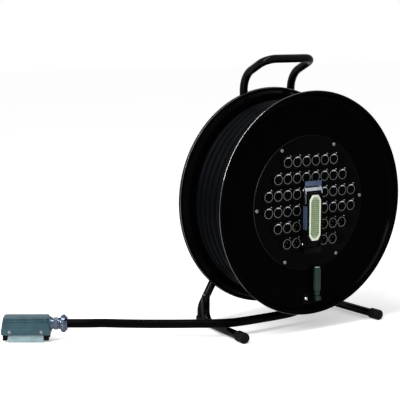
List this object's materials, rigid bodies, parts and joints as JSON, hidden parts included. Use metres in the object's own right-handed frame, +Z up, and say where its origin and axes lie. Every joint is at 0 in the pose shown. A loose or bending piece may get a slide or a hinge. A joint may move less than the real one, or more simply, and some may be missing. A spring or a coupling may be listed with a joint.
{
  "type": "multicore cable drum",
  "caption": "Cable drum on a bent tube frame, with chassis sockets and a locking multipin outlet in its front flange, a folding crank, a brake and a hooded multipin on the free end.",
  "frame": {"origin": "on the floor, under the middle of the drum and its frame, the free cable end left out", "axes": "+Z up, +X to the right of someone who faces the sockets, +Y from the sockets to the back of the drum"},
  "size_m": [0.896, 0.3319, 0.6263],
  "materials": {
    "paint": "gloss black enamel",
    "rubber": "matt black",
    "jacket": "satin black cable jacket",
    "steel": "zinc plated",
    "polymer": "moulded black",
    "socket": "black die casting",
    "port": "blue-grey powder coat on a casting",
    "insert": "light moulded resin",
    "chrome": "polished plating",
    "grip": "glossy grey-green",
    "hood": "blue-grey powder coat on a casting"
  },
  "bodies": {
    "frame": {"frame_loop": "paint", "axle_plate": "paint", "left_foot_tube": "paint", "right_foot_tube": "paint", "left_front_foot_cap": "rubber", "left_rear_foot_cap": "rubber", "right_front_foot_cap": "rubber", "right_rear_foot_cap": "rubber", "axle": "steel", "axle_washer": "steel", "axle_nut": "steel", "end_washer": "steel", "end_nut": "steel", "brake_boss": "steel", "cable_tail": "jacket", "gland_nut": "chrome", "gland_body": "chrome", "hood_shell": "hood", "hood_insert": "insert", "hood_seal": "rubber"},
    "drum": {"bearing_hub": "steel", "front_bush": "polymer", "rear_bush": "polymer", "front_flange": "paint", "rear_flange": "paint", "drum_core": "paint", "cable_lower_layers": "jacket", "cable_front_turn": "jacket", "cable_rear_turns": "jacket", "connection_panel": "paint", "panel_screw_1": "steel", "panel_screw_2": "steel", "panel_screw_3": "steel", "panel_screw_4": "steel", "panel_screw_5": "steel", "panel_screw_6": "steel", "socket_row_1": "socket", "socket_row_2": "socket", "left_socket_row_3": "socket", "right_socket_row_3": "socket", "left_socket_row_4": "socket", "right_socket_row_4": "socket", "left_socket_row_5": "socket", "right_socket_row_5": "socket", "left_socket_row_6": "socket", "right_socket_row_6": "socket", "multipin_gasket": "rubber", "multipin_housing": "port", "multipin_insert": "insert", "crank_bracket": "steel", "crank_rivet": "steel", "crank_hinge_pin": "steel"},
    "crank_arm": {"crank_arm": "steel", "crank_end_cap": "insert"},
    "crank_grip": {"crank_grip": "grip"},
    "top_lever": {"top_locking_lever": "chrome"},
    "bottom_lever": {"bottom_locking_lever": "chrome"},
    "brake_slide": {"brake_pad": "rubber"},
    "brake_screw": {"brake_screw": "steel", "brake_knob": "polymer"}
  },
  "joints": [
    {"name": "drum_spin", "type": "hinge", "parent": "frame", "child": "drum", "pos_m": [0, 0, 0.294], "axis": [0, 1, 0], "continuous": true},
    {"name": "crank_fold", "type": "hinge", "parent": "drum", "child": "crank_arm", "pos_m": [0.0185, -0.08779, 0.072], "axis": [1, 0, 0], "range_deg": [0, 90]},
    {"name": "grip_spin", "type": "hinge", "parent": "crank_arm", "child": "crank_grip", "pos_m": [0.0185, -0.08779, 0.072], "axis": [0, 0, 1], "continuous": true},
    {"name": "top_lever_swing", "type": "hinge", "parent": "drum", "child": "top_lever", "pos_m": [0, -0.09209, 0.299], "axis": [1, 0, 0], "range_deg": [0, 80]},
    {"name": "bottom_lever_swing", "type": "hinge", "parent": "drum", "child": "bottom_lever", "pos_m": [0, -0.09209, 0.227], "axis": [-1, 0, 0], "range_deg": [0, 80]},
    {"name": "brake_slide", "type": "slide", "parent": "frame", "child": "brake_slide", "axis": [0, -1, 0], "range_m": [0, 0.00175]},
    {"name": "brake_turn", "type": "hinge", "parent": "brake_slide", "child": "brake_screw", "pos_m": [0, 0.09422, 0.192], "axis": [0, -1, 0], "range_deg": [0, 360]}
  ],
  "couplings": [
    {"joint": "brake_turn", "follows": "brake_slide", "rad_per_m": 3590.4}
  ]
}
